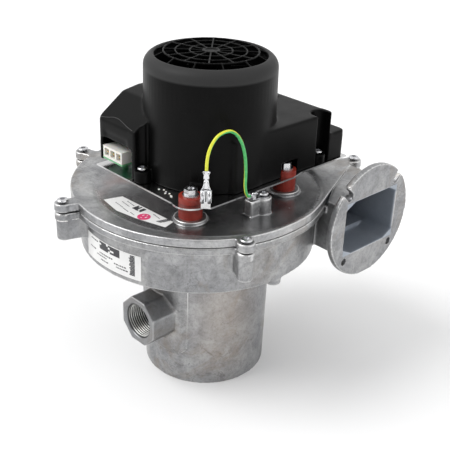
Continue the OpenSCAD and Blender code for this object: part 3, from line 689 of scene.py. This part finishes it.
def add_castings():
    """Softened copies of the castings, with a slope round the cover's dish and a bore for the thread."""
    housing = welded_copy("housing_casting", "volute_housing")
    stand_for(soften(housing, 0.9 * MM, 3), CAST, "cast_aluminium", "housing", "volute_housing")
    cover = welded_copy("cover_casting", "volute_cover")
    soften(cover, 0.75 * MM, 2)
    weigh(cover, "slope", dish_side)
    slope = cover.modifiers.new("slope", "SMOOTH")
    slope.factor, slope.iterations, slope.vertex_group = 0.5, 30, "slope"
    apply_modifiers(cover)
    stand_for(cover, CAST_COVER, "cast_aluminium", "housing", "volute_cover")
    cup = welded_copy("cup_casting", "mixer_cup")
    start, end = (0, PORT_Y - 5 * MM, PORT_Z), (0, PORT_Y + THREAD_LENGTH, PORT_Z)
    cut(cup, cylinder_mesh("bore_tool", start, end, THREAD_ROOT))
    stand_for(soften(cup, 0.8 * MM, 3), CAST_CUP, "cast_aluminium", "housing", "mixer_cup")


def add_port_thread():
    """The gas port's inner thread, as a ring whose bore is a helical ridge behind a chamfer."""
    around, step = 96, THREAD_PITCH / 8
    rows = int(THREAD_LENGTH / step)
    first = 4  # the bore's first row, behind the port's own chamfer
    chamfer = 1.1 * MM
    chamfer_end = 2.4 * MM
    outer = THREAD_ROOT + 0.6 * MM
    verts, faces = [], []

    def add_row(depth, radius_at):
        for k in range(around):
            a = 2 * math.pi * k / around
            r = radius_at(k)
            verts.append((r * math.cos(a), PORT_Y + depth, PORT_Z + r * math.sin(a)))

    for i in range(rows + 1):
        depth = i * step

        def ridge(k):
            phase = (depth / THREAD_PITCH - k / around) % 1
            tooth = min(max((abs(2 * phase - 1) - 0.1) / 0.75, 0), 1)
            r = THREAD_CREST + (THREAD_ROOT - THREAD_CREST) * tooth
            if depth < chamfer_end:
                r = max(r, THREAD_ROOT + chamfer - depth)
            return min(r, THREAD_ROOT)

        add_row(depth, ridge)
    for depth in (0.9 * MM, THREAD_LENGTH):
        add_row(depth, lambda k: outer)
    for i in range(first, rows):
        here, there = i * around, (i + 1) * around
        for k in range(around):
            j = (k + 1) % around
            faces.append((here + k, here + j, there + j, there + k))
    front, back = (rows + 1) * around, (rows + 2) * around
    for k in range(around):
        j = (k + 1) % around
        faces.append((first * around + j, first * around + k, front + k, front + j))
        faces.append((front + j, front + k, back + k, back + j))
        faces.append((back + j, back + k, rows * around + k, rows * around + j))
    obj = new_object("port_thread", verts, faces, THREAD_METAL)
    bm = bmesh.new()
    bm.from_mesh(obj.data)
    bmesh.ops.delete(bm, geom=[v for v in bm.verts if not v.link_faces], context="VERTS")
    bmesh.ops.recalc_face_normals(bm, faces=bm.faces)
    bm.to_mesh(obj.data)
    bm.free()
    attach(obj, "housing")


def add_cap():
    """The cap with moulded, well rounded edges on its box, and crisp ones on its grille."""
    cap = welded_copy("cap_moulding", "motor_cap")
    soften(cap, 0.55 * MM, 2)

    def box_edges(co):
        level = PLATE_Z + 17 * MM <= co.z <= PLATE_Z + 60 * MM
        if not level or math.hypot(co.x, co.y) < DRUM_RADIUS - 0.7 * MM:
            return 0.0
        away = min(math.hypot(co.x - x, co.y - y) for x, y in FEET)
        return min(max((away - 10.5 * MM) / (2 * MM), 0.25), 1.0)

    weigh(cap, "box", box_edges)
    soft = cap.modifiers.new("soft", "SMOOTH")
    soft.factor, soft.iterations, soft.vertex_group = 0.5, 60, "box"
    apply_modifiers(cap)
    return stand_for(cap, PLASTIC, "black_plastic", "housing", "motor_cap")


def add_port_pad():
    """The raised pad on the cup's wall that the port's boss grows from, with round lower corners."""
    columns, rows = 40, 12
    top = CUP_TOP_Z - 0.3 * MM
    widening = (CUP_TOP_RADIUS - CUP_LOW_RADIUS) / (103 * MM)
    verts, faces = [], []
    for i in range(columns + 1):
        turn = PAD_HALF_TURN * (2 * i / columns - 1)
        from_edge = math.radians(PAD_HALF_TURN - abs(turn)) * 48 * MM
        inner = max(0.0, PAD_CORNER - from_edge)
        low = PAD_LOW + PAD_CORNER - math.sqrt(PAD_CORNER ** 2 - inner ** 2)
        a = math.radians(turn - 90)
        for k in range(rows + 1):
            z = low + (top - low) * k / rows
            wall = CUP_LOW_RADIUS + widening * z
            for r in (wall - PAD_THICK, wall + PAD_THICK):
                verts.append((r * math.cos(a), r * math.sin(a), z))
    stride = 2 * (rows + 1)
    for i in range(columns):
        for k in range(rows):
            a, b = i * stride + 2 * k, (i + 1) * stride + 2 * k
            faces += [(a, a + 2, b + 2, b), (a + 1, b + 1, b + 3, a + 3)]
        a, b = i * stride, (i + 1) * stride
        faces.append((a, b, b + 1, a + 1))
        a, b = a + 2 * rows, b + 2 * rows
        faces.append((a, a + 1, b + 1, b))
    for a, flip in ((0, False), (columns * stride, True)):
        for k in range(rows):
            quad = (a + 2 * k, a + 2 * k + 1, a + 2 * k + 3, a + 2 * k + 2)
            faces.append(quad[::-1] if flip else quad)
    pad = new_object("port_pad", verts, faces, CAST_CUP)
    boss_radius = 16 * MM
    cut(pad, cylinder_mesh("pad_tool", (0, -60 * MM, PORT_Z), (0, -30 * MM, PORT_Z), boss_radius))
    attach(pad, "housing")


# The seam's points, in millimetres
SEAM = [(-56.2, -54.9, 195.7), (-48.8, -53.4, 196.8), (-43.6, -51.9, 197.9), (-38.6, -51.7, 198.0),
        (-33.5, -52.5, 197.5), (-27.2, -53.7, 196.6), (-21.5, -54.6, 195.9), (-18.4, -54.9, 195.7)]


def add_cap_seam(cap):
    """The hairline seam across the slope of the cap's high box."""
    line = smooth_line([Vector(p) * MM for p in SEAM], 4)
    points = [cap.closest_point_on_mesh(p)[1] for p in line]
    seam = tube("cap_seam", points, 0.28 * MM, FERRITE, 8)
    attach(seam, "housing")


add_castings()
add_cap_seam(add_cap())
add_port_thread()
add_port_pad()


# ---------------------------------------------------------------- labels and marks
PRINT_THICK = 0.06 * MM


def curved_patch(name, turns, heights, inset, thickness, material):
    """A thin closed sheet on the scroll's wall, between two turns and two heights."""
    steps = max(2, int(abs(turns[1] - turns[0]) / 0.75) + 1)
    verts, faces = [], []
    for i in range(steps + 1):
        turn = turns[0] + (turns[1] - turns[0]) * i / steps
        a = -math.radians(turn)
        for r in (rim_radius(turn) - inset, rim_radius(turn) - inset + thickness):
            for z in heights:
                verts.append((r * math.cos(a), r * math.sin(a), z))
    for i in range(steps):
        a, b = 4 * i, 4 * i + 4
        faces += [(a, a + 1, b + 1, b), (a + 2, b + 2, b + 3, a + 3)]
        faces += [(a, b, b + 2, a + 2), (a + 1, a + 3, b + 3, b + 1)]
    faces += [(0, 2, 3, 1), (4 * steps, 4 * steps + 1, 4 * steps + 3, 4 * steps + 2)]
    obj = new_object(name, verts, faces, material, smooth=False)
    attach(obj, "housing")
    return obj


def join(name, objects):
    """One object from several, which all share a material."""
    with bpy.context.temp_override(active_object=objects[0], selected_editable_objects=objects):
        bpy.ops.object.join()
    objects[0].name = name
    return objects[0]


def add_housing_print():
    """Generic grey bars on the side label: a few lines, a block and an upright band."""
    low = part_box("housing_label")[0].z
    inset = 5.77 * MM
    made = []

    def bar(t0, t1, z0, z1):
        heights = (low + z0 * MM, low + z1 * MM)
        name = f"print_{len(made)}"
        made.append(curved_patch(name, (t0, t1), heights, inset, PRINT_THICK, DARK_PRINT))

    for i in range(11):
        for k in range(4):
            if random.random() < 0.72:
                bar(83.5 + i * 1.2, 84.7 + i * 1.2, 12.4 + k * 1.5, 13.9 + k * 1.5)
    for k in range(15):
        bar(75.2, 78.3 - random.random() * 0.9, 2.6 + k * 1.05, 3.45 + k * 1.05)
    lines = ((8.6, 88, 97), (6.2, 80, 87), (4.0, 79, 86), (6.4, 92, 99),
             (3.6, 91, 96), (16, 98, 104), (9, 100, 105))
    for z, t0, t1 in lines:
        t = t0
        while t < t1:
            wide = 0.35 + random.random() * 0.9
            bar(t, min(t + wide, t1), z, z + 0.9)
            t += wide + 0.35
    join("housing_label_print", made)


def flat_patch(name, corners, z, thickness, material):
    """A thin closed sheet lying on a level face."""
    n = len(corners)
    verts = [(x, y, z) for x, y in corners] + [(x, y, z + thickness) for x, y in corners]
    faces = [tuple(range(n - 1, -1, -1)), tuple(range(n, 2 * n))]
    for k in range(n):
        j = (k + 1) % n
        faces.append((k, j, n + j, n + k))
    obj = new_object(name, verts, faces, material, smooth=False)
    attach(obj, "housing")
    return obj


def add_cover_print():
    """Generic bars and dots on the cover's label and on its round sticker."""
    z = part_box("cover_label")[1].z - 0.02 * MM
    made = []

    def bar(x, y, wide, high, lean=-8):
        c, s = math.cos(math.radians(lean)), math.sin(math.radians(lean))
        corners = []
        for u, v in ((0, 0), (wide, 0), (wide, high), (0, high)):
            corners.append(((x + u * c - v * s) * MM, (y + u * s + v * c) * MM))
        made.append(flat_patch(f"mark_{len(made)}", corners, z, PRINT_THICK, DARK_PRINT))

    for i in range(6):
        for k in range(4):
            if random.random() < 0.7:
                bar(-4.2 + i * 1.5, -67.4 + k * 1.5, 1.5, 1.5, 2)
    for k in range(9):
        bar(22.4 + 0.25 * k, -67.4 + k * 0.9, 4.2 - random.random() * 1.0, 0.66, 14)
    lines = ((-19, -70.8, 9), (-17, -66.5, 10), (-15, -63.4, 8),
             (13, -62.4, 8), (0.5, -72.6, 5), (-8, -72.4, 6))
    for x, y, long in lines:
        u = 0.0
        while u < long:
            wide = 0.4 + random.random() * 1.1
            bar(x + u, y - u * 0.12, wide, 0.7)
            u += wide + 0.4
    join("cover_label_print", made)
    low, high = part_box("round_sticker")
    top = high.z - 0.02 * MM
    cx, cy = (low.x + high.x) / 2, (low.y + high.y) / 2
    made = []
    marks = ((-2.3, 0.2, 0.7, 1.9), (1.4, -0.6, 0.7, 2.0), (-0.6, -2.6, 1.2, 0.6), (-0.2, 2.4, 0.7, 0.7))
    for dx, dy, wide, long in marks:
        outline = ((0, 0), (wide, 0), (wide, long), (0, long))
        corners = [(cx + (dx + u) * MM, cy + (dy + v) * MM) for u, v in outline]
        made.append(flat_patch(f"sticker_{len(made)}", corners, top, PRINT_THICK, WHITE_PRINT))
    join("round_sticker_print", made)


add_housing_print()
add_cover_print()


def dome(name, place, radius, height, material):
    """A low round blob standing on a level face."""
    rings, around = 5, 20
    verts, faces = [], []
    x, y, z = place
    for i in range(rings):
        a = math.pi / 2 * i / rings
        r = radius * math.cos(a)
        for k in range(around):
            b = 2 * math.pi * k / around
            verts.append((x + r * math.cos(b), y + r * math.sin(b), z + height * math.sin(a)))
    verts.append((x, y, z + height))
    for i in range(rings - 1):
        here, there = i * around, (i + 1) * around
        for k in range(around):
            j = (k + 1) % around
            faces.append((here + k, here + j, there + j, there + k))
    for k in range(around):
        faces.append(((rings - 1) * around + k, (rings - 1) * around + (k + 1) % around, rings * around))
    faces.append(tuple(range(around - 1, -1, -1)))
    obj = new_object(name, verts, faces, material)
    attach(obj, "housing")
    return obj


# Each head's place and radius, in millimetres
RIVETS = [(7, -52.2, 0.8), (10, -50.2, 0.8), (13.2, -51, 0.6), (14.8, -53, 0.8),
          (17.2, -51.2, 0.8), (20.5, -52.6, 0.9), (22, -53.4, 0.8)]


def add_plate_rivets():
    """The small bright heads in the plate between the board and the front mount."""
    made = []
    for i, (x, y, r) in enumerate(RIVETS):
        place = (x * MM, y * MM, PLATE_Z - 0.05 * MM)
        made.append(dome(f"rivet_{i}", place, r * MM, 0.55 * MM, NYLON))
    join("plate_rivets", made)


add_plate_rivets()


# Lines on one side of the receptacle, in millimetres: across it, out from it, and up from the plate
ROLL = [(2.3, 1.7, 4.3), (2.3, 1.75, 8), (2.3, 1.7, 13.3)]
WING = [(1.1, 0.7, 20.6), (1.25, 0.9, 22.2), (1.0, 0.8, 24.2), (1.9, 1.0, 26.6)]
NECK = [(2.9, 1.2, 13.2), (1.9, 0.7, 15), (1.2, 0.5, 17.4), (1.0, 0.6, 19.8)]


def add_terminal_details():
    """The receptacle's rolled edges and crimped wings, and the ring terminal's crimp."""
    foot = Vector((*SPADE, PLATE_Z))
    across = Vector((1, 1, 0)).normalized()
    outward = Vector((1, -1, 0)).normalized()

    def strand(name, points, radius, material, side=1):
        line = [foot + (side * u * across + v * outward + Vector((0, 0, z))) * MM for u, v, z in points]
        return tube(name, line, radius * MM, material)

    def finish(name, pieces):
        whole = join(name, pieces)
        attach(whole, "housing")

    made = []
    for side in (-1, 1):
        made.append(strand(f"roll_{side}", ROLL, 1.25, TINNED, side))
        made.append(strand(f"wing_{side}", WING, 0.75, TINNED, side))
        made.append(strand(f"neck_{side}", NECK, 0.6, TINNED, side))
    finish("spade_rolled_edges", made)
    low_gap = strand("gap_0", [(0, 1.65, 5.2), (0, 1.7, 12.6)], 0.42, FERRITE)
    high_gap = strand("gap_1", [(0, 1.15, 20.8), (0, 1.25, 24.0)], 0.3, FERRITE)
    finish("spade_seam", [low_gap, high_gap])
    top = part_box("ring_terminal")[1].z - 1.0 * MM
    made = []
    for k in range(3):
        y, z = (1.7 * k - 10.3) * MM, top - 0.35 * k * MM
        line = [Vector(((56.2 + d) * MM, y, z)) for d in (-1.5, 0.0, 1.5)]
        made.append(tube(f"crimp_{k}", line, 0.55 * MM, TINNED, 12))
    finish("ring_crimp_wings", made)


add_terminal_details()


# ---------------------------------------------------------------- stage and light
# The way from the object to the studio's dark side
DARK_SIDE = Vector((0.72, -0.66, 0.22)).normalized()


def add_stage():
    """A wide pale floor, and an even studio that is darker on the photographer's side."""
    s = Shader("floor")
    colour = s.ramp(s.noise(3, 2, 0.5), (0.3, grey(0.92)), (0.7, grey(0.94)))
    s.set(Base_Color=colour, Roughness=0.9)
    half = 30.0
    corners = [(-half, -half, 0), (half, -half, 0), (half, half, 0), (-half, half, 0)]
    floor = new_object("floor", corners, [(0, 1, 2, 3)], s.material)
    world = bpy.data.worlds.new("studio")
    world.use_nodes = True
    tree = world.node_tree
    where = tree.nodes.new("ShaderNodeTexCoord").outputs["Generated"]
    facing = tree.nodes.new("ShaderNodeVectorMath")
    facing.operation = "DOT_PRODUCT"
    facing.inputs[1].default_value = DARK_SIDE
    tree.links.new(where, facing.inputs[0])
    shade = tree.nodes.new("ShaderNodeValToRGB")
    shade.color_ramp.elements[0].position, shade.color_ramp.elements[0].color = 0.35, (1, 1, 1, 1)
    shade.color_ramp.elements[1].position, shade.color_ramp.elements[1].color = 0.95, (0.16, 0.16, 0.17, 1)
    tree.links.new(facing.outputs["Value"], shade.inputs["Fac"])
    tree.links.new(shade.outputs["Color"], tree.nodes["Background"].inputs["Color"])
    tree.nodes["Background"].inputs["Strength"].default_value = 0.95
    bpy.context.scene.world = world


def add_sun(name, towards, spread, strength):
    """Soft light from a wide disk far away in some direction."""
    light = bpy.data.lights.new(name, "SUN")
    light.angle, light.energy = math.radians(spread), strength
    obj = bpy.data.objects.new(name, light)
    obj.rotation_mode = "QUATERNION"
    obj.rotation_quaternion = Vector(towards).to_track_quat("Z", "Y")
    bpy.context.scene.collection.objects.link(obj)


add_stage()
add_sun("key", (-0.5, -0.75, 1.0), 35, 1.7)
add_sun("fill", (1.0, 0.1, 0.7), 50, 0.5)
bpy.context.scene.view_settings.view_transform = "Standard"
